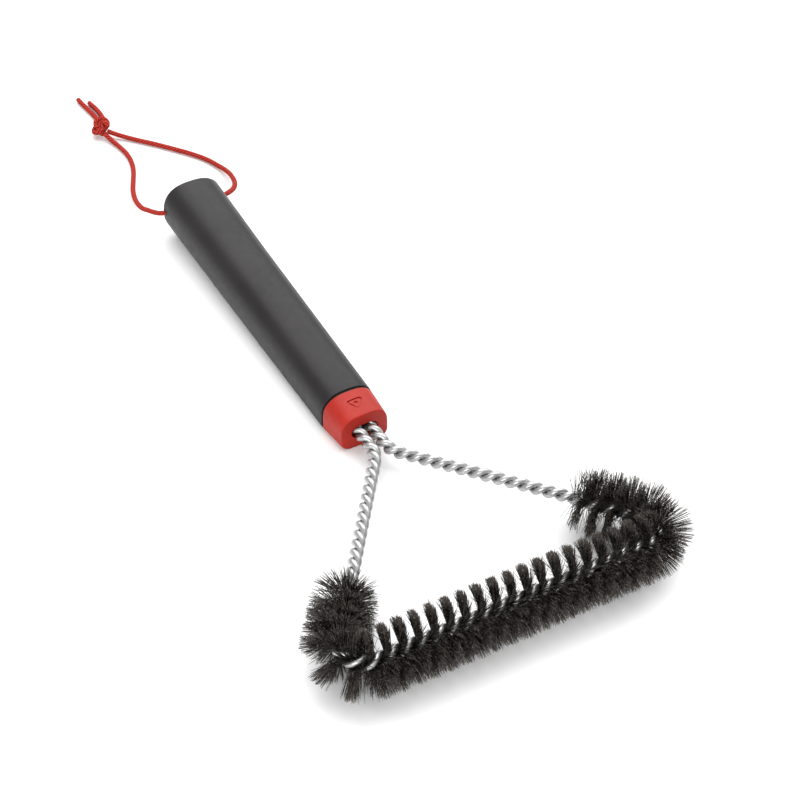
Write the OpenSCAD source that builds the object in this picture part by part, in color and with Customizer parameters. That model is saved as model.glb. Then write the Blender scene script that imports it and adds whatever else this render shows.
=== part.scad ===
// Three-sided grill cleaning brush with a moulded grip and a twisted-wire head.
// Frame: +X runs from the butt of the grip to the front bar of bristles, +Y to
// the left when looking along +X, +Z up. The brush lies on z = 0, and the origin
// is below its middle. Lengths along X are measured from the butt until placed().

/* [Grip] */
// Length of the moulded grip
grip_len = 151; // [130:1:170]
// Width of the grip at its butt
butt_w = 28.6; // [26:0.2:32]
// Height of the grip at its butt
butt_h = 26.6; // [24:0.2:30]
// Width of the grip where the collar starts
neck_w = 24.1; // [23:0.1:26]
// Height of the grip where the collar starts
neck_h = 18.2; // [17.6:0.2:23]
// Length of the rounding at the butt
butt_round = 4; // [2:0.5:6]
// Diameter of the cross hole for the hanging cord
cord_hole_d = 4.8; // [3.4:0.2:6]

/* [Collar] */
// Length of the coloured collar
collar_len = 14.4; // [12:0.2:20]
// Width of the collar at its front face
face_w = 21.6; // [20:0.2:24]
// Height of the collar at its front face
face_h = 16.5; // [15:0.1:18]
// Thickness of the dark spacer between grip and collar
spacer_t = 1; // [0.6:0.1:2]
// Depth of the mark on the collar's top
mark_depth = 0.5; // [0.3:0.1:0.8]

/* [Wire frame] */
// Diameter of each of the two twisted wires
wire_d = 2.8; // [2.4:0.1:2.8]
// Distance of the front bar's centre line from the butt
bar_x = 283.5; // [275:0.5:300]
// Height of the front bar's centre line
bar_z = 16; // [15:0.5:18]
// Half the distance between the sharp corners of the triangle
half_span = 77.5; // [70:0.5:85]
// Bend radius of the centre line at the two front corners
corner_r = 9; // [8:0.5:12]
// Length of half a turn of the twist where there are bristles
brush_pitch = 6.74; // [6.4:0.02:7.2]
// Length of half a turn of the twist on the bare arms
bare_pitch = 5.4; // [5:0.1:6.5]

/* [Bristles] */
// Reach of a tuft from the wires' centre line
tuft_r = 14.8; // [13:0.1:16]
// Number of tufts on each side of the middle one
tufts_each_side = 15; // [12:1:15]

/* [Hidden] */
$fn = 64;
joint_x = grip_len + spacer_t;
face_x = joint_x + collar_len;
stem_z = 8.1;
stem_y = wire_d + 0.1;
strand_gap = 0.05;
strand_off = wire_d/2 + strand_gap;
stem_od = 2*(strand_off + wire_d/2);
tail_x = 84;
bend_x = face_x + 14.8;
bend_r = 14;
wall = 3.4;
butt_foot = 0.46;
neck_foot = 0.15;
face_foot = 0.2;
crown = 2.6;
face_crown = 3.1;
face_edge = 0.45;
core_w = 17;
core_h = 12.8;
core_x = 30;
cord_d = 2.4;
hole_x = 5.5;
hole_z = 14;
tuft_root = 1.7;
tuft_tip = 4.4;
tuft_sag = 1.3;
corner_tip = 8;
tuft_gap = 0.12;

function tuft_name(k) = str("tuft_", k < 0 ? "left_" : k > 0 ? "right_" : "middle_", abs(k));

// ---- section of grip and collar: flat foot, upright sides, crowned top ----

function spow(v, e) = sign(v)*pow(abs(v), e);
function loaf(w, h, lift, foot, crown) =
    let (r = foot*w, zc = max(0.4*h, r), e = 2/crown)
    concat(
        [for (a = [-90 : 15 : 0]) [w/2 - r + r*cos(a), lift + r + r*sin(a)]],
        [for (a = [0 : 7.5 : 180]) [w/2*spow(cos(a), e), lift + zc + (h - zc)*pow(sin(a), e)]],
        [for (a = [180 : 15 : 270]) [-w/2 + r + r*cos(a), lift + r + r*sin(a)]]);

function mix(a, b, f) = a + (b - a)*f;

module section(x, w, h, inset, foot, crown, t = 0.02) {
    translate([x, 0, 0])
        rotate([90, 0, 90])
            linear_extrude(t)
                polygon(loaf(w - 2*inset, h - 2*inset, inset, foot, crown));
}

// Thin slice of the grip at x, drawn in by inset on every side
module slice(x, inset = 0) {
    f = x/grip_len;
    section(x, mix(butt_w, neck_w, f), mix(butt_h, neck_h, f), inset,
            mix(butt_foot, neck_foot, f), crown);
}

// Thin slice of the collar at distance d from its back
module collar_slice(d, inset = 0) {
    f = d/collar_len;
    section(joint_x + d, mix(neck_w - 0.2, face_w, f), collar_h(d), inset,
            mix(neck_foot, face_foot, f), mix(crown, face_crown, f));
}
function collar_h(d) = mix(neck_h - 0.2, face_h, d/collar_len);

// Exact bar along X with rounded long edges, centred on y = 0
module rounded_bar(x0, x1, w, h, z0, r) {
    translate([x0, 0, z0])
        rotate([90, 0, 90])
            linear_extrude(x1 - x0) {
                translate([-w/2 + r, 0]) square([w - 2*r, h]);
                translate([-w/2, r]) square([w, h - 2*r]);
                for (sy = [-1, 1], cz = [r, h - r])
                    translate([sy*(w/2 - r), cz]) circle(r);
            }
}

// ---- moulded parts ----

module handle_grip() {
    color("#4a4747")
        difference() {
            hull() {
                for (i = [0 : 6])
                    let (u = 1 - cos(15*i), x = butt_round*u)
                    slice(x, 7*(1 - pow(1 - pow(1 - u, 2), 0.5)));
                slice(grip_len - 0.02);
            }
            rounded_bar(core_x, grip_len + 1, core_w, core_h, wall - 1.6, 3);
            translate([hole_x, 0, hole_z])
                rotate([90, 0, 0])
                    cylinder(d = cord_hole_d, h = 60, center = true);
        }
}

module spacer_ring() {
    color("#3a3d3a")
        difference() {
            hull() {
                slice(grip_len + 0.04, 0.35);
                slice(joint_x - 0.06, 0.35);
            }
            rounded_bar(grip_len - 1, joint_x + 1, core_w - 0.4, core_h - 0.4, wall - 1.4, 2.8);
        }
}

module stem_slot(x0, x1, clear) {
    rounded_bar(x0, x1, 2*stem_y + stem_od + 2*clear, stem_od + 2*clear,
                stem_z - stem_od/2 - clear, stem_od/2 + clear - 0.01);
}

// Generic mark: a rounded triangle outline with a dot in the middle
module mark() {
    difference() {
        soft_triangle(3.6);
        soft_triangle(2.5);
    }
    circle(0.9);
}

module soft_triangle(s) {
    polygon([for (a = [0, 120, 240], da = [-12, 12]) s*[cos(a + da), sin(a + da)]]);
}

module collar() {
    color("#b93a32")
        difference() {
            union() {
                hull() {
                    collar_slice(0);
                    for (a = [0 : 30 : 90])
                        collar_slice(collar_len - 0.02 - face_edge*(1 - sin(a)),
                                     face_edge*(1 - cos(a)));
                }
                rounded_bar(joint_x - 11, joint_x + 1, core_w - 0.8, core_h - 0.8, wall - 1.2, 2.6);
            }
            stem_slot(joint_x - 12, face_x + 1, 0.35);
            translate([joint_x + 7, 0, collar_h(7) - mark_depth])
                linear_extrude(5) mark();
        }
}

// ---- what holds the wires inside the grip ----

module anchor_block() {
    color("#8d8f92")
        difference() {
            rounded_bar(104, 138, core_w - 0.3, core_h - 0.3, wall - 1.45, 2.9);
            stem_slot(103, 139, 0.2);
        }
}

module anchor_plate() {
    color("silver")
        difference() {
            rounded_bar(101.9, 103.9, core_w - 0.6, core_h - 0.6, wall - 1.3, 2.7);
            stem_slot(101, 105, 0.2);
        }
}

module crimp_sleeve() {
    color("silver")
        difference() {
            stem_slot(89.8, 101.8, 1.3);
            stem_slot(89, 103, 0.1);
        }
}

// ---- centre line of the wire frame, measured from the middle of the bar ----

arm_dx = bar_x - bend_x;
arm_dy = half_span - stem_y;
arm_angle = atan2(arm_dy, arm_dx);
turn = 90 + arm_angle;
corner_t = corner_r*tan(turn/2);
bend_t = bend_r*tan(arm_angle/2);
s_bar = half_span - corner_t;
s_corner = s_bar + corner_r*turn*PI/180;
s_arm = s_corner + norm([arm_dx, arm_dy]) - corner_t - bend_t;
s_bend = s_arm + bend_r*arm_angle*PI/180;
s_end = s_bend + bend_x - bend_t - tail_x;
s_brush = (tufts_each_side + 0.5)*brush_pitch;

corner_c = [bar_x - corner_r, s_bar];
arm_dir = -[cos(arm_angle), sin(arm_angle)];
arm_start = corner_c + corner_r*[cos(turn), sin(turn)];
arm_end = arm_start + (s_arm - s_corner)*arm_dir;
bend_c = [bend_x - bend_t, stem_y + bend_r];

function plan(s) =
    s <= s_bar ? [bar_x, s] :
    s <= s_corner ? let (a = (s - s_bar)/corner_r*180/PI) corner_c + corner_r*[cos(a), sin(a)] :
    s <= s_arm ? arm_start + (s - s_corner)*arm_dir :
    s <= s_bend ? let (a = (s_bend - s)/bend_r*180/PI) bend_c + bend_r*[sin(a), -cos(a)] :
    [bend_x - bend_t - (s - s_bend), stem_y];
function rise(s) =
    s <= s_corner ? bar_z :
    s <= s_arm ? bar_z + (stem_z - bar_z)*(s - s_corner)/(s_arm - s_corner) :
    stem_z;
function line_at(s) =
    let (p = plan(abs(s)))
    [p[0], s < 0 ? -p[1] : p[1], rise(abs(s))];
function unit(v) = v/norm(v);
function along(s) = unit(line_at(s + 0.05) - line_at(s - 0.05));
function inward(s) = let (t = along(s)) unit([-t[1], t[0], 0]);
function upward(s) = cross(along(s), inward(s));
function heading(s) = let (t = along(s)) atan2(t[1], t[0]);
function climb(s) = let (t = along(s)) asin(t[2]);

// ---- the two wires: a left-hand twist, tighter on the bare arms ----

twist_start = -25.5;
function twist(s) =
    let (a = abs(s), b = min(a, s_brush))
    twist_start - sign(s)*180*(b/brush_pitch + (a - b)/bare_pitch);
function strand_at(s, side) =
    let (w = twist(s) + side)
    line_at(s) + strand_off*(cos(w)*inward(s) + sin(w)*upward(s));

steps_half_turn = 4;
function spread(a, b, step) =
    let (n = ceil((b - a)/step))
    [for (i = [0 : n - 1]) a + (b - a)*i/n];
stations = concat(
    spread(-s_end, -s_brush, bare_pitch/steps_half_turn),
    spread(-s_brush, s_brush, brush_pitch/steps_half_turn),
    spread(s_brush, s_end, bare_pitch/steps_half_turn),
    [s_end]);

wire_sides = 8;
function strand_ring(s, side) =
    let (
        p = strand_at(s, side),
        t = unit(strand_at(s + 0.05, side) - strand_at(s - 0.05, side)),
        c = line_at(s) - p,
        n = unit(c - (c*t)*t),
        b = cross(t, n))
    [for (i = [0 : wire_sides - 1])
        p + wire_d/2*(cos(i*360/wire_sides)*n + sin(i*360/wire_sides)*b)];

// Closed tube over rings of equal size, given one after another
module tube(rings) {
    m = len(rings[0]);
    n = len(rings);
    pts = [for (r = rings) each r];
    faces = concat(
        [[for (i = [0 : m - 1]) i]],
        [for (j = [0 : n - 2], i = [0 : m - 1])
            each [[j*m + i, (j + 1)*m + i, (j + 1)*m + (i + 1)%m],
                  [j*m + i, (j + 1)*m + (i + 1)%m, j*m + (i + 1)%m]]],
        [[for (i = [m - 1 : -1 : 0]) (n - 1)*m + i]]);
    polyhedron(pts, faces, convexity = 10);
}

module wire_strand(side) {
    color("#b9bcbe")
        tube([for (s = stations) strand_ring(s, side)]);
}

// ---- bristle tufts, one for each half turn ----

function on_corner(s) = abs(s) > s_bar && abs(s) < s_corner;

// Keeps a tuft's share of the stem: a wedge on the corner, a slab elsewhere
module share(s) {
    half = brush_pitch/2 - tuft_gap;
    far = 60;
    if (on_corner(s)) {
        a = half/corner_r*180/PI;
        linear_extrude(far, center = true)
            polygon([[0, corner_r], [-far*sin(a), corner_r - far*cos(a)],
                     [far*sin(a), corner_r - far*cos(a)]]);
    } else {
        cube([2*half, far, far], center = true);
    }
}

// Everything on one side of the line that halves a front corner
module corner_half(s) {
    side = abs(s) <= s_bar ? 0 : 1;
    half_angle = (90 - arm_angle)/2;
    mirror([0, s < 0 ? 1 : 0, 0])
        translate([bar_x, half_span, 0])
            rotate([0, 0, -90 - half_angle])
                translate([-60, side == 0 ? tuft_gap : -200 - tuft_gap, -1])
                    cube([260, 200, 80]);
}

module tuft(k) {
    s = k*brush_pitch;
    corner = on_corner(s);
    tip = corner ? corner_tip : tuft_tip;
    color("#1c1611")
        intersection() {
            translate([bar_x - 250, -150, 0]) cube([400, 300, 80]);
            if (!corner) corner_half(s);
            translate(line_at(s))
                rotate([0, -climb(s), heading(s)])
                    difference() {
                        intersection() {
                            translate([0, 0, -tuft_sag])
                                rotate([0, 90, 0])
                                    rotate_extrude()
                                        polygon([[0, -tuft_root/2], [tuft_r - 0.5, -tip/2],
                                                 [tuft_r, -tip/2 + 0.9], [tuft_r, tip/2 - 0.9],
                                                 [tuft_r - 0.5, tip/2], [0, tuft_root/2]]);
                            share(s);
                        }
                        rotate([0, 90, 0])
                            cylinder(d = stem_od + 0.5, h = 30, center = true);
                    }
        }
}

// ---- hanging cord: through the cross hole, both ends tied in one knot ----

knot_at = [-81, -8.2, 5];
cord_left_route = [
    [5.5, -0.2, 14.6], [5.5, -6, 14.6], [5.2, -11.5, 14.6], [3.8, -14.6, 14],
    [0, -16.4, 12.2], [-7, -17.2, 9], [-14.5, -17.5, 5.5], [-23.5, -16.5, 3], [-32.5, -14, 1.6],
    [-40, -10.5, 1.3], [-47, -7.2, 1.3], [-53.5, -5.3, 1.3], [-60, -4.6, 1.3], [-67, -5.3, 1.3],
    [-72, -6.5, 1.6], [-75.5, -7.4, 2.3], [-78.5, -8.2, 3.2]];
cord_right_route = [
    [5.5, 0.2, 14.6], [5.5, 6, 14.6], [5.3, 12, 14.4], [4.4, 16, 13.4],
    [1.5, 19.8, 11.6], [-2.5, 23.5, 9.4], [-8, 26.8, 7.2], [-15, 29, 5], [-22.5, 30, 3],
    [-30.5, 29, 1.6], [-38, 26.4, 1.3], [-45, 22.2, 1.3], [-52.5, 16.7, 1.3], [-60.5, 10.4, 1.3],
    [-67.5, 4.4, 1.3], [-72.5, 0, 1.6], [-75.8, -3.4, 2.4], [-78.3, -6.2, 3.4]];
end_long_route = [
    [-83.5, -7.6, 3.2], [-87.5, -6.4, 2.2], [-92, -5.8, 1.5], [-97.5, -5.9, 1.3], [-102.5, -6.4, 1.3],
    [-107, -6.9, 1.3], [-111.5, -7.2, 1.3]];
end_short_route = [
    [-83, -6, 4], [-87, -4.2, 3], [-91.5, -3.1, 2], [-96, -2.6, 1.4], [-101, -2.8, 1.3],
    [-106.5, -3.6, 1.3]];

function tube_rings(route, d, sides) =
    let (n = len(route) - 1)
    [for (j = [0 : n])
        let (
            t = unit(route[min(j + 1, n)] - route[max(j - 1, 0)]),
            u = unit(cross([0, 0, 1], t)),
            v = cross(t, u))
        [for (i = [0 : sides - 1])
            route[j] + d/2*(cos(i*360/sides)*u + sin(i*360/sides)*v)]];

module cord(route) {
    color("#c42420") tube(tube_rings(route, cord_d, 8));
}

// The tie: one pass of an overhand knot, flattened and lying on its edge
module cord_knot() {
    ring = 2.9;
    over = 1.3;
    route = [for (a = [12 : 12 : 348])
        (ring + over*cos(3*a))*[cos(2*a), sin(2*a), 0] + [0, 0, over*sin(3*a)]];
    color("#c42420")
        translate(knot_at) rotate([35, 0, 20]) tube(tube_rings(route, cord_d, 8));
}

// Moves the butt from x = 0, so that the origin is under the brush's middle
module placed() {
    translate([-(bar_x + tuft_r)/2, 0, 0]) children();
}

placed() handle_grip();
placed() spacer_ring();
placed() collar();
placed() anchor_block();
placed() anchor_plate();
placed() crimp_sleeve();
placed() wire_strand(0);  // wire_strand_a
placed() wire_strand(180);  // wire_strand_b
placed() cord(cord_left_route);  // hang_cord_left
placed() cord(cord_right_route);  // hang_cord_right
placed() cord_knot();
placed() cord(end_long_route);  // cord_end_long
placed() cord(end_short_route);  // cord_end_short
for (k = [-tufts_each_side : tufts_each_side])
    placed() tuft(k);
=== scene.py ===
"""Looks of the three-sided grill brush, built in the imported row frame.

The driving sizes repeat those of part.scad, in millimetres, with X measured from the butt
of the grip. to_row turns them into metres in the row frame. The cord's routes are in metres.
"""
import math

import bpy
import numpy as np
from mathutils import Matrix, Vector


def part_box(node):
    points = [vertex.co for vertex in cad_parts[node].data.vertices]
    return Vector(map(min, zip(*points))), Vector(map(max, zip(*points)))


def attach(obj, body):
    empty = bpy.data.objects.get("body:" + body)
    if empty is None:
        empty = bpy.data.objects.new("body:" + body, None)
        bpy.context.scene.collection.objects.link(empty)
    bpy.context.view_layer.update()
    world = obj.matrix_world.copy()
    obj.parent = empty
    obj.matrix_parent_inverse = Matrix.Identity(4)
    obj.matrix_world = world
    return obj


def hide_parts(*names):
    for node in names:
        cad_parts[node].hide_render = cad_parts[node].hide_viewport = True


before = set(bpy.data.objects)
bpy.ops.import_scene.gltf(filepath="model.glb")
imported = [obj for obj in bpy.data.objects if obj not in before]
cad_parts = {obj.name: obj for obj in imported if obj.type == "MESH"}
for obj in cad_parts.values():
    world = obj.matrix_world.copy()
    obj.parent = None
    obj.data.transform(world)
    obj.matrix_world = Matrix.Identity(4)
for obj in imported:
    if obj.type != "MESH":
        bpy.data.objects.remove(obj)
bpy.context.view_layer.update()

MM = 0.001
BUTT_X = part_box("handle_grip")[0][0] / MM

# ---- driving sizes, in millimetres ----

GRIP_LEN = 151.0
BUTT_W, BUTT_H, BUTT_FOOT = 28.6, 26.6, 0.46
NECK_W, NECK_H, NECK_FOOT = 24.1, 18.2, 0.15
FACE_W, FACE_H, FACE_FOOT = 21.6, 16.5, 0.2
CROWN, FACE_CROWN = 2.6, 3.1
BUTT_ROUND, BUTT_INSET = 4.0, 7.0
HOLE_D, HOLE_X, HOLE_Z = 4.8, 5.5, 14.0
SPACER_T, COLLAR_LEN = 1.0, 14.4
WIRE_D, STRAND_GAP = 2.8, 0.05
BAR_X, BAR_Z, HALF_SPAN, CORNER_R = 283.5, 16.0, 77.5, 9.0
BRUSH_PITCH, BARE_PITCH = 6.74, 5.4
TUFTS_EACH_SIDE = 15
STEM_Z, TAIL_X, BEND_R = 8.1, 84.0, 14.0
BEND_OUT = 14.8  # from the collar's face to where the arms bend apart
COLLAR_STEP = 0.2  # the collar is this much slimmer than the end of the grip
CORD_D = 2.4
TWIST_START = -25.5
SIDE_TOP = 0.4  # the grip's crown starts at this part of its height
SECTION_POINTS = 120

JOINT_X = GRIP_LEN + SPACER_T
FACE_X = JOINT_X + COLLAR_LEN
STEM_Y = WIRE_D + 0.1
STRAND_OFF = WIRE_D / 2 + STRAND_GAP
STEM_OD = 2 * (STRAND_OFF + WIRE_D / 2)
BEND_X = FACE_X + BEND_OUT


# ---- small helpers ----

def unit(v):
    v = np.asarray(v, float)
    return v / np.maximum(np.linalg.norm(v, axis=-1, keepdims=True), 1e-12)


def to_row(points):
    """Millimetres from the butt to metres in the row frame."""
    return (np.asarray(points, float) + [BUTT_X, 0, 0]) * MM


def in_mm(points):
    return np.asarray(points, float) / MM


def make_object(name, points, faces, material, slot, body="root"):
    mesh = bpy.data.meshes.new(name)
    mesh.from_pydata(to_row(points).tolist(), [], [list(map(int, f)) for f in faces])
    mesh.validate()
    mesh.update()
    piece = bpy.data.objects.new(name, mesh)
    bpy.context.scene.collection.objects.link(piece)
    mesh.materials.append(material)
    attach(piece, body)
    return piece


def shade_smooth(piece, sharp_angle):
    piece.data.shade_smooth()
    piece.data.set_sharp_from_angle(angle=math.radians(sharp_angle))


def ring_faces(rings, sides):
    """Faces between rings of points that follow each other, and the two end caps."""
    faces = []
    for j in range(rings - 1):
        for i in range(sides):
            a, b = j * sides + i, j * sides + (i + 1) % sides
            faces.append((a, b, b + sides, a + sides))
    faces.append(range(sides - 1, -1, -1))
    faces.append(range((rings - 1) * sides, rings * sides))
    return faces


def beside(line):
    """Two directions across a line, level and upwards."""
    t = unit(np.gradient(line, axis=0))
    level = unit(np.cross(np.broadcast_to((0, 0, 1), t.shape), t))
    return level, np.cross(t, level)


def swept(line, u, v, across, thick, angles):
    """Ellipses round a line, with half-axes across along u and thick along v."""
    rings = (line[:, None] + across * np.cos(angles)[None, :, None] * u[:, None]
             + thick * np.sin(angles)[None, :, None] * v[:, None])
    return rings.reshape(-1, 3), ring_faces(len(line), len(angles))


def full_turn(sides):
    return np.linspace(0, 2 * math.pi, sides, endpoint=False)


def joined(parts):
    """Several (points, faces) as one."""
    points, faces, n = [], [], 0
    for p, f in parts:
        points.append(p)
        faces += [[n + i for i in face] for face in f]
        n += len(p)
    return np.concatenate(points), faces


def distances(line):
    """How far along the line each of its points is."""
    return np.r_[0, np.cumsum(np.linalg.norm(np.diff(line, axis=0), axis=1))]


def evenly(line, at):
    """The points of the line at the given distances along it."""
    s = distances(line)
    return np.stack([np.interp(at, s, line[:, k]) for k in range(line.shape[1])], 1)


def spline(points, step):
    """Smooth line through the points, evenly spaced."""
    p = np.asarray(points, float)
    p = np.vstack([2 * p[0] - p[1], p, 2 * p[-1] - p[-2]])
    t = np.linspace(0, 1, 24, endpoint=False)[:, None]
    out = []
    for a, b, c, d in zip(p[:-3], p[1:-2], p[2:-1], p[3:]):
        out.append(0.5 * (2 * b + (c - a) * t + (2 * a - 5 * b + 4 * c - d) * t**2
                          + (3 * b - a - 3 * c + d) * t**3))
    line = np.vstack(out + [p[-2:-1]])
    length = distances(line)[-1]
    return evenly(line, np.linspace(0, length, max(4, round(length / step) + 1)))


# ---- materials ----

class Nodes:
    """Short forms for building one node material."""

    def __init__(self, name):
        self.material = bpy.data.materials.new(name)
        self.material.use_nodes = True
        self.tree = self.material.node_tree
        self.shader = self.tree.nodes["Principled BSDF"]

    def add(self, kind, **inputs):
        node = self.tree.nodes.new(kind)
        for key, value in inputs.items():
            key = key.replace("_", " ")
            if isinstance(value, bpy.types.NodeSocket):
                self.tree.links.new(value, node.inputs[key])
            elif key in node.inputs:
                node.inputs[key].default_value = value
            else:
                setattr(node, key.replace(" ", "_"), value)
        return node

    def link(self, out, to):
        self.tree.links.new(out, to)

    def set(self, **values):
        for key, value in values.items():
            self.shader.inputs[key.replace("_", " ")].default_value = value

    def place(self):
        return self.add("ShaderNodeTexCoord").outputs["Object"]

    def noise(self, scale, detail=3.0, roughness=0.5):
        return self.add("ShaderNodeTexNoise", Scale=scale, Detail=detail, Roughness=roughness,
                        Vector=self.place()).outputs["Fac"]

    def ramp(self, fac, stops):
        node = self.add("ShaderNodeValToRGB", Fac=fac)
        while len(node.color_ramp.elements) < len(stops):
            node.color_ramp.elements.new(0.5)
        for element, (at, colour) in zip(node.color_ramp.elements, stops):
            element.position = at
            element.color = (*colour, 1)
        return node.outputs["Color"]

    def ranged(self, value, low, high, out_low, out_high):
        node = self.add("ShaderNodeMapRange")
        node.inputs["From Min"].default_value = low
        node.inputs["From Max"].default_value = high
        node.inputs["To Min"].default_value = out_low
        node.inputs["To Max"].default_value = out_high
        self.link(value, node.inputs["Value"])
        return node.outputs["Result"]

    def bump(self, height, strength, distance, normal=None):
        node = self.add("ShaderNodeBump", Height=height, Strength=strength, Distance=distance)
        if normal is not None:
            self.link(normal, node.inputs["Normal"])
        return node.outputs["Normal"]


def moulded_plastic(name, dark, light, roughness, gloss=0.5):
    """Fine moulded grain over a slow change of tone."""
    grain, relief = 9000.0, 0.00003
    n = Nodes(name)
    n.link(n.ramp(n.noise(60.0, 4.0), [(0.35, dark), (0.65, light)]),
           n.shader.inputs["Base Color"])
    n.link(n.ranged(n.noise(350.0, 4.0), 0.3, 0.7, roughness - 0.04, roughness + 0.05),
           n.shader.inputs["Roughness"])
    grains = n.add("ShaderNodeTexVoronoi", Scale=grain / 3, Vector=n.place()).outputs["Distance"]
    n.link(n.bump(n.noise(grain, 2.0), 0.35, relief, n.bump(grains, 0.12, relief)),
           n.shader.inputs["Normal"])
    n.set(Specular_IOR_Level=gloss)
    return n.material


def drawn_wire(name):
    """Dull drawn steel with fine scratches and clouding."""
    n = Nodes(name)
    n.set(Metallic=1.0)
    cloud = n.noise(700.0, 5.0, 0.65)
    n.link(n.ramp(cloud, [(0.3, (0.33, 0.33, 0.33)), (0.55, (0.45, 0.45, 0.45)),
                          (0.75, (0.53, 0.53, 0.525))]), n.shader.inputs["Base Color"])
    n.link(n.ranged(n.noise(1500.0, 4.0), 0.3, 0.7, 0.30, 0.46), n.shader.inputs["Roughness"])
    n.link(n.bump(n.noise(2600.0, 4.0), 0.25, 0.00004), n.shader.inputs["Normal"])
    return n.material


def bristle_wire(name):
    """Near-black bristle steel with small painted glints and a lighter tone towards the tips."""
    n = Nodes(name)
    n.set(Metallic=0.4, Specular_IOR_Level=0.5)
    # the top stop of this ramp paints bright glints on scattered bristles: painted highlight
    dark = n.ramp(n.noise(1400.0, 3.0),
                  [(0.40, (0.005, 0.0034, 0.0025)), (0.56, (0.012, 0.0085, 0.006)),
                   (0.66, (0.30, 0.27, 0.25))])
    tip = n.add("ShaderNodeAttribute", attribute_name="toward_tip").outputs["Fac"]
    # the colour turns a lighter brown towards each bristle's tip
    lighter_tip = n.add("ShaderNodeMix", data_type="RGBA")
    n.link(n.ranged(tip, 0.7, 1.0, 0.0, 0.4), lighter_tip.inputs["Factor"])
    n.link(dark, lighter_tip.inputs["A"])
    lighter_tip.inputs["B"].default_value = (0.085, 0.070, 0.057, 1)
    n.link(lighter_tip.outputs["Result"], n.shader.inputs["Base Color"])
    n.link(n.ranged(n.noise(1300.0, 2.0), 0.3, 0.7, 0.26, 0.45), n.shader.inputs["Roughness"])
    return n.material


def braid_yarn(name):
    """Matt red yarn; painted highlights on every second pair of yarns are marked by an attribute.
    """
    n = Nodes(name)
    tone = n.add("ShaderNodeMix", data_type="RGBA")
    # lighter red of the painted highlight on every second pair of yarns
    tone.inputs["B"].default_value = (0.52, 0.075, 0.050, 1)
    lighter = n.add("ShaderNodeAttribute", attribute_name="painted_highlight_yarn").outputs["Fac"]
    n.link(n.ranged(lighter, 0.0, 1.0, 0.0, 0.6), tone.inputs["Factor"])
    n.link(tone.outputs["Result"], n.shader.inputs["Base Color"])
    red = n.ramp(n.noise(1600.0, 4.0),
                 [(0.3, (0.16, 0.0020, 0.0012)), (0.55, (0.24, 0.0040, 0.0022)),
                  (0.72, (0.34, 0.014, 0.009))])
    n.link(red, tone.inputs["A"])
    n.link(n.ranged(n.noise(2500.0, 3.0), 0.3, 0.7, 0.55, 0.75), n.shader.inputs["Roughness"])
    n.link(n.bump(n.noise(6000.0, 3.0), 0.5, 0.00008), n.shader.inputs["Normal"])
    n.set(Specular_IOR_Level=0.10)
    return n.material


def zinc_plate(name):
    """Lightly mottled zinc."""
    n = Nodes(name)
    n.set(Metallic=1.0)
    n.link(n.ramp(n.noise(250.0, 5.0), [(0.3, (0.48, 0.49, 0.50)), (0.7, (0.66, 0.67, 0.68))]),
           n.shader.inputs["Base Color"])
    n.link(n.ranged(n.noise(800.0, 3.0), 0.3, 0.7, 0.3, 0.45), n.shader.inputs["Roughness"])
    return n.material


grip_plastic = moulded_plastic("grip_plastic", (0.0125, 0.0110, 0.0112), (0.0160, 0.0140, 0.0143),
                               0.42, gloss=0.22)
spacer_plastic = moulded_plastic("spacer_plastic", (0.004, 0.004, 0.003), (0.008, 0.008, 0.006),
                                 0.5, gloss=0.2)
collar_plastic = moulded_plastic("collar_plastic", (0.295, 0.0100, 0.0040), (0.350, 0.0140, 0.0060),
                                 0.50, gloss=0.26)
insert_plastic = moulded_plastic("insert_plastic", (0.20, 0.20, 0.21), (0.26, 0.26, 0.27), 0.5)
galvanised_wire = drawn_wire("galvanised_wire")
bristle_steel = bristle_wire("bristle_steel")
braided_cord = braid_yarn("braided_cord")
zinc_steel = zinc_plate("zinc_steel")


# ---- camera ----

def make_camera():
    """At the photograph's viewing angle, looking at the middle of the brush."""
    azimuth, elevation, distance, focal = 60.77, 43.02, 1000.0, 106.9065
    target = Vector(to_row([150.4, 25.5, 0.0]))
    a, e = math.radians(azimuth), math.radians(elevation)
    back = Vector((math.sin(a) * math.cos(e), -math.cos(a) * math.cos(e), math.sin(e)))
    data = bpy.data.cameras.new("camera")
    data.sensor_width = 36.0
    data.lens = focal
    data.clip_start, data.clip_end = 0.05, 20.0
    camera = bpy.data.objects.new("camera", data)
    camera.location = target + back * distance * MM
    camera.rotation_mode = "QUATERNION"
    camera.rotation_quaternion = (-back).to_track_quat("-Z", "Y")
    bpy.context.scene.collection.objects.link(camera)
    bpy.context.scene.camera = camera


make_camera()


# ---- hanging cord ----

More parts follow.
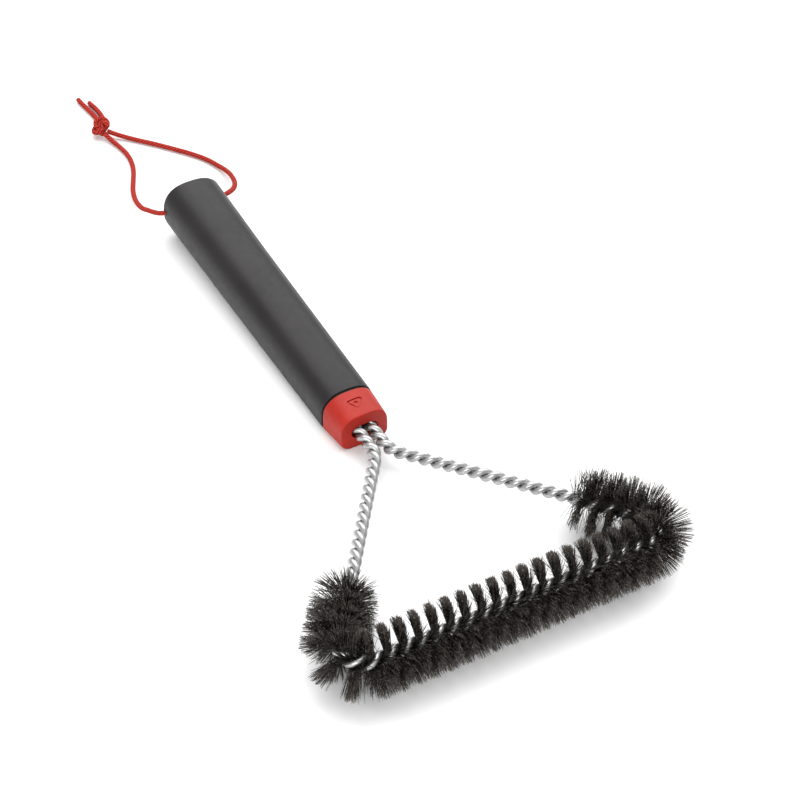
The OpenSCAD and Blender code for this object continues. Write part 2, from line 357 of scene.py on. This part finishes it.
# routes given as the points of part.scad, here in metres from the butt
CORD_LEFT = [
    (0.0055, -0.0002, 0.0146), (0.0055, -0.006, 0.0146), (0.0052, -0.0115, 0.0146),
    (0.0038, -0.0146, 0.014), (0, -0.0164, 0.0122), (-0.007, -0.0172, 0.009),
    (-0.0145, -0.0175, 0.0055), (-0.0235, -0.0165, 0.003), (-0.0325, -0.014, 0.0016),
    (-0.04, -0.0105, 0.0013), (-0.047, -0.0072, 0.0013), (-0.0535, -0.0053, 0.0013),
    (-0.06, -0.0046, 0.0013), (-0.067, -0.0053, 0.0013), (-0.072, -0.0065, 0.0016),
    (-0.0755, -0.0074, 0.0023), (-0.0785, -0.0082, 0.0032)]
CORD_RIGHT = [
    (0.0055, 0.0002, 0.0146), (0.0055, 0.006, 0.0146), (0.0053, 0.012, 0.0144),
    (0.0044, 0.016, 0.0134), (0.0015, 0.0198, 0.0116), (-0.0025, 0.0235, 0.0094),
    (-0.008, 0.0268, 0.0072), (-0.015, 0.029, 0.005), (-0.0225, 0.03, 0.003),
    (-0.0305, 0.029, 0.0016), (-0.038, 0.0264, 0.0013), (-0.045, 0.0222, 0.0013),
    (-0.0525, 0.0167, 0.0013), (-0.0605, 0.0104, 0.0013), (-0.0675, 0.0044, 0.0013),
    (-0.0725, 0, 0.0016), (-0.0758, -0.0034, 0.0024), (-0.0783, -0.0062, 0.0034)]
END_LONG = [
    (-0.0835, -0.0076, 0.0032), (-0.0875, -0.0064, 0.0022), (-0.092, -0.0058, 0.0015),
    (-0.0975, -0.0059, 0.0013), (-0.1025, -0.0064, 0.0013), (-0.107, -0.0069, 0.0013),
    (-0.1115, -0.0072, 0.0013)]
END_SHORT = [
    (-0.083, -0.006, 0.004), (-0.087, -0.0042, 0.003), (-0.0915, -0.0031, 0.002),
    (-0.096, -0.0026, 0.0014), (-0.101, -0.0028, 0.0013), (-0.1065, -0.0036, 0.0013)]
KNOT_AT = (-0.081, -0.0082, 0.005)
YARNS = 16
LAY = 7.0  # length of one turn of a yarn
CORE_SIDES, YARN_SIDES = 8, 6
# parts of the cord's diameter
CORE_R, YARN_WIDE, YARN_THICK, WEAVE = 0.36, 0.135, 0.085, 0.045


def braid(line):
    """A braided tube: half the yarns turn each way and pass over and under each other."""
    s = distances(line)
    u, v = beside(line)
    wide, thick, wave = CORD_D * YARN_WIDE, CORD_D * YARN_THICK, CORD_D * WEAVE
    core_r = CORD_D * CORE_R
    parts = [swept(line, u, v, core_r, core_r, full_turn(CORE_SIDES))]
    for k in range(YARNS):
        way = 1 if k % 2 else -1
        turn = way * 2 * math.pi * s / LAY + 2 * math.pi * (k // 2) / (YARNS / 2)
        over = np.cos((2 * math.pi * s / LAY * YARNS / 4 + math.pi * (k // 2)) * 2) * way
        outward = np.cos(turn)[:, None] * u + np.sin(turn)[:, None] * v
        path = line + (CORD_D / 2 - thick - wave + wave * over)[:, None] * outward
        across = unit(np.cross(unit(np.gradient(path, axis=0)), outward))
        parts.append(swept(path, across, outward, wide, thick, full_turn(YARN_SIDES)))
    return joined(parts)


def braided_piece(name, lines):
    """Braids along the lines as one piece; every second pair of yarns is a lighter red, a painted
    highlight.
    """
    points, faces = joined([braid(line) for line in lines])
    piece = make_object(name, points, faces, braided_cord, "braided_cord")
    shade_smooth(piece, 60)
    # marks every second pair of yarns for the painted highlight
    tone = []
    for line in lines:
        tone += [np.zeros(CORE_SIDES * len(line))]
        tone += [np.full(YARN_SIDES * len(line), float(k // 2 % 2 == 0)) for k in range(YARNS)]
    lighter = piece.data.attributes.new("painted_highlight_yarn", "FLOAT", "POINT")
    lighter.data.foreach_set("value", np.concatenate(tone).astype(np.float32))
    return piece


def cord_piece(name, route, node):
    line = spline(in_mm(route), 0.3)
    piece = braided_piece(name, [line])
    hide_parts(node)
    return piece, line


def knot_line(ring, over, turned_on):
    """One wrap of the overhand knot, its ends hidden among the other turns."""
    a = np.radians(np.linspace(12, 348, 200))
    flat = np.stack([(ring + over * np.cos(3 * a)) * np.cos(2 * a + turned_on),
                     (ring + over * np.cos(3 * a)) * np.sin(2 * a + turned_on),
                     over * np.sin(3 * a)], 1)
    lean, swing = math.radians(35), math.radians(20)
    turned = Matrix.Rotation(swing, 3, "Z") @ Matrix.Rotation(lean, 3, "X")
    return flat @ np.array(turned).T + in_mm(KNOT_AT)


def make_cords():
    left, left_line = cord_piece("cord_left", CORD_LEFT, "hang_cord_left")
    right, right_line = cord_piece("cord_right", CORD_RIGHT, "hang_cord_right")
    long_end, _ = cord_piece("cord_end_long_braid", END_LONG, "cord_end_long")
    short_end, _ = cord_piece("cord_end_short_braid", END_SHORT, "cord_end_short")
    knot = braided_piece("cord_knot_braid", [knot_line(2.95, 1.25, 0.0), knot_line(1.5, 0.9, 0.9)])
    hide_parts("cord_knot")


make_cords()


# ---- grip, spacer and collar ----

def loaf(w, h, lift, foot, crown):
    """The section, evenly spaced points: flat foot, upright sides, crowned top."""
    r, e = foot * w, 2 / crown
    zc = max(SIDE_TOP * h, r)
    corner = np.radians(np.linspace(-90, 0, 60))
    right = np.stack([w / 2 - r + r * np.cos(corner), r + r * np.sin(corner)], 1)
    a = np.radians(np.linspace(0, 180, 361))
    top = np.stack([w / 2 * np.sign(np.cos(a)) * np.abs(np.cos(a)) ** e,
                    zc + (h - zc) * np.abs(np.sin(a)) ** e], 1)
    left = right[::-1] * [-1, 1]
    outline = np.vstack([right, top, left, right[:1]])
    around = np.linspace(0, distances(outline)[-1], SECTION_POINTS, endpoint=False)
    return evenly(outline, around) + [0, lift]


def mix(a, b, f):
    return a + (b - a) * f


def grip_section(x, inset):
    f = x / GRIP_LEN
    yz = loaf(mix(BUTT_W, NECK_W, f) - 2 * inset, mix(BUTT_H, NECK_H, f) - 2 * inset, inset,
              mix(BUTT_FOOT, NECK_FOOT, f), CROWN)
    return np.column_stack([np.full(len(yz), x), yz])


def collar_height(d):
    return mix(NECK_H - COLLAR_STEP, FACE_H, d / COLLAR_LEN)


def collar_section(x, inset):
    f = (x - JOINT_X) / COLLAR_LEN
    width = mix(NECK_W - COLLAR_STEP, FACE_W, f)
    yz = loaf(width - 2 * inset, collar_height(x - JOINT_X) - 2 * inset,
              inset, mix(NECK_FOOT, FACE_FOOT, f), mix(CROWN, FACE_CROWN, f))
    return np.column_stack([np.full(len(yz), x), yz])


def loft(section, stations):
    """Closed skin over (x, inset) stations."""
    rings = [section(x, inset) for x, inset in stations]
    return np.vstack(rings), ring_faces(len(rings), len(rings[0]))


def cut(piece, points, faces):
    """Takes a closed shape out of a piece."""
    mesh = bpy.data.meshes.new("cutter")
    mesh.from_pydata(to_row(points).tolist(), [], [list(map(int, f)) for f in faces])
    cutter = bpy.data.objects.new("cutter", mesh)
    bpy.context.scene.collection.objects.link(cutter)
    step = piece.modifiers.new("cut", "BOOLEAN")
    step.operation, step.solver, step.object = "DIFFERENCE", "EXACT", cutter
    graph = bpy.context.evaluated_depsgraph_get()
    cut_mesh = bpy.data.meshes.new_from_object(piece.evaluated_get(graph))
    piece.modifiers.clear()
    old, piece.data = piece.data, cut_mesh
    bpy.data.meshes.remove(old)
    bpy.data.objects.remove(cutter)
    bpy.data.meshes.remove(mesh)


def prism(outline, axis, low, high):
    """Closed prism of a 2-D outline along axis 0, 1 or 2."""
    n = len(outline)
    points = np.insert(np.vstack([outline, outline]), axis, 0.0, axis=1)
    points[:n, axis], points[n:, axis] = low, high
    return points, ring_faces(2, n)


def circle(radius, sides, at):
    a = full_turn(sides)
    return np.stack([at[0] + radius * np.cos(a), at[1] + radius * np.sin(a)], 1)


def stadium(width, height, at, n=24):
    a = np.linspace(-math.pi / 2, math.pi / 2, n)
    r, half = height / 2, (width - height) / 2
    side = np.stack([half + r * np.cos(a), r * np.sin(a)], 1)
    return np.vstack([side, -side]) + at


def make_grip():
    turn = np.radians(np.linspace(0, 90, 15))
    u = 1 - np.cos(turn)
    butt = [(BUTT_ROUND * k, BUTT_INSET * (1 - math.sqrt(1 - (1 - k) ** 2))) for k in u]
    shaft = [(x, 0.0) for x in np.linspace(8, GRIP_LEN - 0.5, 40)]
    lip = [(GRIP_LEN - 0.3, 0.04), (GRIP_LEN - 0.12, 0.14), (GRIP_LEN - 0.03, 0.35),
           (GRIP_LEN, 0.6), (GRIP_LEN, 2.0)]
    grip = make_object("grip", *loft(grip_section, [(0.0, 10.5), *butt, *shaft, *lip]),
                       grip_plastic, "grip_plastic")
    through = 20  # past both sides of the grip
    cut(grip, *prism(circle(HOLE_D / 2, 48, (HOLE_X, HOLE_Z)), 1, -through, through))
    shade_smooth(grip, 38)
    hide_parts("handle_grip")


def make_spacer():
    x0, x1 = GRIP_LEN + 0.04, JOINT_X - 0.04
    spacer = make_object("spacer", *loft(grip_section, [
        (x0, 2.0), (x0, 0.75), (x0 + 0.4, 0.7), (x0 + 0.55, 0.35), (x1 - 0.05, 0.3), (x1, 0.36),
        (x1, 2.0)]), spacer_plastic, "spacer_plastic")
    shade_smooth(spacer, 50)
    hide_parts("spacer_ring")


def soft_triangle(size, n=10):
    """Triangle outline with rounded corners, pointing along +X."""
    out = []
    for k in range(3):
        centre = 0.72 * size * np.array([math.cos(2 * math.pi * k / 3),
                                         math.sin(2 * math.pi * k / 3)])
        a = 2 * math.pi * k / 3 + np.linspace(-math.pi / 3, math.pi / 3, n)
        out.append(centre + 0.28 * size * np.stack([np.cos(a), np.sin(a)], 1))
    return np.vstack(out)


SLOT_PLAY = 0.7
MARK_X, MARK_DEPTH = 7, 0.4
MARK_OUTER, MARK_INNER, MARK_DOT = 3.7, 2.6, 0.9
CLEAR = 2  # how far a cutter stands out of the collar


def ring_prism(outer, inner, low, high):
    """Closed ring between two outlines of the same number of points."""
    n = len(outer)
    points = np.vstack([np.column_stack([loop, np.full(n, z)])
                        for z in (low, high) for loop in (outer, inner)])
    faces = []
    for i in range(n):
        j = (i + 1) % n
        faces += [(i, n + i, n + j, j), (2 * n + i, 2 * n + j, 3 * n + j, 3 * n + i),
                  (i, j, 2 * n + j, 2 * n + i), (n + i, 3 * n + i, 3 * n + j, n + j)]
    return points, faces


def make_collar():
    edge, dome = 0.5, 0.12
    front = [(FACE_X - dome - edge * (1 - math.sin(a)), edge * (1 - math.cos(a)))
             for a in np.radians(np.linspace(0, 80, 9))]
    face = [(FACE_X - dome * (1 - k) ** 2, edge + 7.0 * k) for k in (0.08, 0.25, 0.5, 0.75, 1)]
    back = [(JOINT_X, 2.0), (JOINT_X, 0.25), (JOINT_X + 0.07, 0.08), (JOINT_X + 0.25, 0.0)]
    shaft = [(x, 0.0) for x in np.linspace(JOINT_X + 1, FACE_X - dome - edge - 0.3, 10)]
    collar = make_object("collar_shell", *loft(collar_section, back + shaft + front + face),
                         collar_plastic, "collar_plastic")
    slot_h = STEM_OD + SLOT_PLAY
    slot = stadium(2 * STEM_Y + slot_h, slot_h, (0, STEM_Z))
    cut(collar, *prism(slot, 0, JOINT_X - CLEAR, FACE_X + CLEAR))
    centre = [JOINT_X + MARK_X, 0]
    top = collar_height(MARK_X)
    cut(collar, *ring_prism(soft_triangle(MARK_OUTER) + centre, soft_triangle(MARK_INNER) + centre,
                            top - MARK_DEPTH, top + CLEAR))
    cut(collar, *prism(circle(MARK_DOT, 24, centre), 2, top - MARK_DEPTH, top + CLEAR))
    shade_smooth(collar, 38)
    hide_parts("collar")


make_grip()
make_spacer()
make_collar()
for node, material in (("anchor_block", insert_plastic), ("anchor_plate", zinc_steel),
                       ("crimp_sleeve", zinc_steel)):
    piece = bpy.data.objects[node]
    for place in piece.material_slots:
        place.material = material


# ---- centre line of the wire frame, measured from the middle of the bar ----

ARM_ANGLE = math.atan2(HALF_SPAN - STEM_Y, BAR_X - BEND_X)
TURN = math.pi / 2 + ARM_ANGLE
CORNER_T = CORNER_R * math.tan(TURN / 2)
BEND_T = BEND_R * math.tan(ARM_ANGLE / 2)
S_BAR = HALF_SPAN - CORNER_T
S_CORNER = S_BAR + CORNER_R * TURN
S_ARM = S_CORNER + math.hypot(BAR_X - BEND_X, HALF_SPAN - STEM_Y) - CORNER_T - BEND_T
S_BEND = S_ARM + BEND_R * ARM_ANGLE
S_END = S_BEND + BEND_X - BEND_T - TAIL_X
S_BRUSH = (TUFTS_EACH_SIDE + 0.5) * BRUSH_PITCH


def plan(s):
    if s <= S_BAR:
        return BAR_X, s
    if s <= S_CORNER:
        a = (s - S_BAR) / CORNER_R
        return BAR_X - CORNER_R + CORNER_R * math.cos(a), S_BAR + CORNER_R * math.sin(a)
    start = (BAR_X - CORNER_R + CORNER_R * math.cos(TURN), S_BAR + CORNER_R * math.sin(TURN))
    if s <= S_ARM:
        return (start[0] - (s - S_CORNER) * math.cos(ARM_ANGLE),
                start[1] - (s - S_CORNER) * math.sin(ARM_ANGLE))
    if s <= S_BEND:
        a = (S_BEND - s) / BEND_R
        return BEND_X - BEND_T + BEND_R * math.sin(a), STEM_Y + BEND_R * (1 - math.cos(a))
    return BEND_X - BEND_T - (s - S_BEND), STEM_Y


def line_at(s):
    s = np.atleast_1d(s)
    xy = np.array([plan(abs(v)) for v in s])
    xy[:, 1] = np.where(s < 0, -xy[:, 1], xy[:, 1])
    z = np.interp(np.abs(s), [S_CORNER, S_ARM], [BAR_Z, STEM_Z])
    return np.column_stack([xy, z])


def frame_at(s):
    """Along, inward (towards the middle of the triangle) and up, at each s."""
    along = unit(line_at(np.asarray(s) + 0.05) - line_at(np.asarray(s) - 0.05))
    inward = unit(np.stack([-along[:, 1], along[:, 0], 0 * along[:, 0]], 1))
    return along, inward, np.cross(along, inward)


def twist(s):
    """Angle of the first wire round the centre line; left-hand, tighter on the bare arms."""
    a = np.abs(s)
    b = np.minimum(a, S_BRUSH)
    turns = b / BRUSH_PITCH + (a - b) / BARE_PITCH
    return math.radians(TWIST_START) - np.sign(s) * math.pi * turns


def strand_line(s, side):
    w = (twist(s) + side)[:, None]
    _, inward, up = frame_at(s)
    return line_at(s) + STRAND_OFF * (np.cos(w) * inward + np.sin(w) * up)


def make_strands():
    """Both wires, each a round rod that follows its own helix."""
    bare_step, brush_step = BARE_PITCH / 14, BRUSH_PITCH / 16
    s = np.concatenate([np.arange(-S_END, -S_BRUSH, bare_step),
                        np.arange(-S_BRUSH, S_BRUSH, brush_step),
                        np.arange(S_BRUSH, S_END, bare_step), [S_END]])
    for letter, side in (("a", 0.0), ("b", math.pi)):
        line = strand_line(s, side)
        t = unit(np.gradient(line, axis=0))
        c = line_at(s) - line
        n = unit(c - (c * t).sum(1, keepdims=True) * t)
        rod = swept(line, n, np.cross(t, n), WIRE_D / 2, WIRE_D / 2, full_turn(16))
        strand = make_object("strand_" + letter, *rod, galvanised_wire, "galvanised_wire")
        shade_smooth(strand, 60)
        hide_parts("wire_strand_" + letter)


make_strands()


# ---- bristles ----

BRISTLES_PER_TUFT = 600
BRISTLE_D, BRISTLE_SIDES, SEGMENTS = 0.25, 3, 4
ROOT_R = 1.2  # where a bristle starts, from the centre line
UPPER_REACH, LOWER_REACH = 12.9, 15.1
BLADE_HALF = 1.2
BAR_TUFTS = 10  # tufts on each half of the straight bar
TOP_Z, FLOOR_Z = 29.4, 0.18
# shares of the upper blade, the lower fan, the front and the back
BAR_SHARES, CORNER_SHARES = [0.34, 0.46, 0.15, 0.05], [0.34, 0.38, 0.16, 0.12]
BAR_SPREAD, CORNER_SPREAD = 8, 26


def tuft_name(k):
    return "tuft_" + ("left_" if k < 0 else "right_" if k > 0 else "middle_") + str(abs(k))


def bristle_directions(k, rng):
    """For each bristle: its group, its angle round the wire, and its place along the wire."""
    count = BRISTLES_PER_TUFT
    # the bar's blades are narrow; those of the corners and arms open out all round
    on_bar = abs(k) <= BAR_TUFTS
    kind = rng.choice(4, count, p=BAR_SHARES if on_bar else CORNER_SHARES)
    upper, lower, front = (kind == i for i in range(3))
    # degrees from the upper blade's direction, towards the front being positive
    spread = BAR_SPREAD if on_bar else CORNER_SPREAD
    off = np.select([upper, lower, front],
                    [rng.normal(0, spread, count).clip(-60, 60),
                     180 + rng.uniform(-75, 75, count),
                     rng.uniform(15, 110, count)], rng.uniform(-110, -15, count))
    down = lower & (abs(off - 180) < 40)
    # the bundle follows the twist, so its place along the wire changes with its angle
    slip = np.select([upper, lower],
                     [rng.normal(0, 0.75, count).clip(-BLADE_HALF, BLADE_HALF),
                      -(off - 180) / 180 * 0.9 * BRUSH_PITCH], -off / 180 * BRUSH_PITCH)
    slip += np.select([upper, down], [0.0 if on_bar else 0.5, 0.7], 0.35) * rng.normal(0, 1, count)
    if abs(k) == TUFTS_EACH_SIDE:
        stray = rng.random(count) < 0.16
        slip = np.where(stray, np.sign(k) * rng.uniform(1, 7, count), slip)
    angle = np.radians(TWIST_START + 90 + off + rng.normal(0, 3, count))
    return (upper, lower, front), angle, k * BRUSH_PITCH + slip


def bristle_lines(k, rng):
    """Bent centre lines, one row of points for each bristle, and the steps along them."""
    (upper, lower, front), angle, root_s = bristle_directions(k, rng)
    count = BRISTLES_PER_TUFT
    base = line_at(root_s)
    along, inward, up = frame_at(root_s)
    out = np.cos(angle)[:, None] * inward + np.sin(angle)[:, None] * up
    long_one = rng.random(count) < 0.03
    reach = np.where(lower | front, LOWER_REACH - abs(rng.normal(0, 1.5, count)),
                     UPPER_REACH - abs(rng.normal(0, 0.8, count)))
    reach += np.where(long_one & ~lower, rng.uniform(0.3, 1.6, count), 0)
    reach = np.minimum(reach, (TOP_Z - base[:, 2]) / np.maximum(out[:, 2], 0.05))
    lean = np.where(upper & (abs(k) <= BAR_TUFTS), 0.03, 0.08) * rng.normal(0, 1, count)
    bow = (np.where(upper, 0.12, 0.2) * rng.normal(0, 1, (2, count))).T
    side = np.cross(along, out)
    u = np.linspace(0, 1, SEGMENTS + 1)
    r = ROOT_R + (reach[:, None] - ROOT_R) * u
    line = (base[:, None] + out[:, None] * r[..., None]
            + along[:, None] * (lean[:, None] * r + bow[:, :1] * u**2)[..., None]
            + side[:, None] * (bow[:, 1:] * u**2)[..., None])
    # the floor turns the lowest ones aside
    line[..., 2] = np.maximum(line[..., 2], FLOOR_Z + 0.12 * rng.random((count, 1)))
    return line, u


def bristle_skins(line, u, rng):
    """A thin closed rod, a little tapered at its tip, round each line."""
    count = len(line)
    t = unit(np.gradient(line, axis=1))
    across = unit(np.cross(t, rng.normal(size=(count, 1, 3))))
    third = np.cross(t, across)
    a = np.radians([0, 120, 240])
    radius = BRISTLE_D / 2 * np.interp(u, [0, 0.85, 1], [1, 0.95, 0.6])
    ring = (line[:, :, None]
            + (radius[None, :, None] * np.cos(a))[..., None] * across[:, :, None]
            + (radius[None, :, None] * np.sin(a))[..., None] * third[:, :, None])
    n = BRISTLE_SIDES
    per = (SEGMENTS + 1) * n
    start = per * np.arange(count)
    walls = np.array([(j * n + i, j * n + (i + 1) % n, j * n + n + (i + 1) % n, j * n + n + i)
                      for j in range(SEGMENTS) for i in range(n)])
    quads = (walls[None] + start[:, None, None]).reshape(-1, 4)
    tips = np.array([per - 3, per - 2, per - 1])[None] + start[:, None]
    roots = np.array([2, 1, 0])[None] + start[:, None]
    return ring.reshape(-1, 3), quads.tolist() + tips.tolist() + roots.tolist()


def make_tuft(k):
    """One half turn's bundle: a flat upright blade above, a splayed fan below and in front."""
    rng = np.random.default_rng(1000 + k)
    line, u = bristle_lines(k, rng)
    points, faces = bristle_skins(line, u, rng)
    piece = make_object("bristles_" + tuft_name(k)[5:], points, faces,
                        bristle_steel, "bristle_steel")
    piece.data.shade_smooth()
    tip = piece.data.attributes.new("toward_tip", "FLOAT", "POINT")
    toward_tip = np.tile(np.repeat(u, BRISTLE_SIDES), len(line))
    tip.data.foreach_set("value", toward_tip.astype(np.float32))
    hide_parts(tuft_name(k))


for k in range(-TUFTS_EACH_SIDE, TUFTS_EACH_SIDE + 1):
    make_tuft(k)


# ---- floor, light and view ----

def make_floor():
    half, below = 6.0, 0.0001
    mesh = bpy.data.meshes.new("floor")
    mesh.from_pydata([(-half, -half, 0), (half, -half, 0), (half, half, 0), (-half, half, 0)], [],
                     [(0, 1, 2, 3)])
    floor = bpy.data.objects.new("floor", mesh)
    floor.location.z = -below
    bpy.context.scene.collection.objects.link(floor)
    n = Nodes("floor")
    n.set(Roughness=0.9, Specular_IOR_Level=0.1)
    n.link(n.ramp(n.noise(3.0), [(0.0, (0.86, 0.86, 0.86)), (1.0, (0.88, 0.88, 0.88))]),
           n.shader.inputs["Base Color"])
    mesh.materials.append(n.material)


def area_light(name, at, size, watts):
    """A rectangular light that looks at the origin."""
    data = bpy.data.lights.new(name, "AREA")
    data.shape, data.size, data.size_y = "RECTANGLE", size[0], size[1]
    data.energy = watts
    light = bpy.data.objects.new(name, data)
    light.location = at
    light.rotation_mode = "QUATERNION"
    light.rotation_quaternion = (-Vector(at)).to_track_quat("-Z", "Y")
    bpy.context.scene.collection.objects.link(light)


def make_light():
    """A large soft box overhead and behind, a fill beside the camera, dim surroundings."""
    world = bpy.data.worlds.new("studio")
    world.use_nodes = True
    background = world.node_tree.nodes["Background"]
    background.inputs["Color"].default_value = (1, 1, 1, 1)
    background.inputs["Strength"].default_value = 0.74
    bpy.context.scene.world = world
    area_light("overhead", (-0.62, 0.52, 1.35), (2.2, 2.2), 44)
    area_light("fill", (0.9, -1.0, 0.75), (1.1, 0.8), 12)


make_floor()
make_light()
bpy.context.scene.view_settings.view_transform = "Standard"
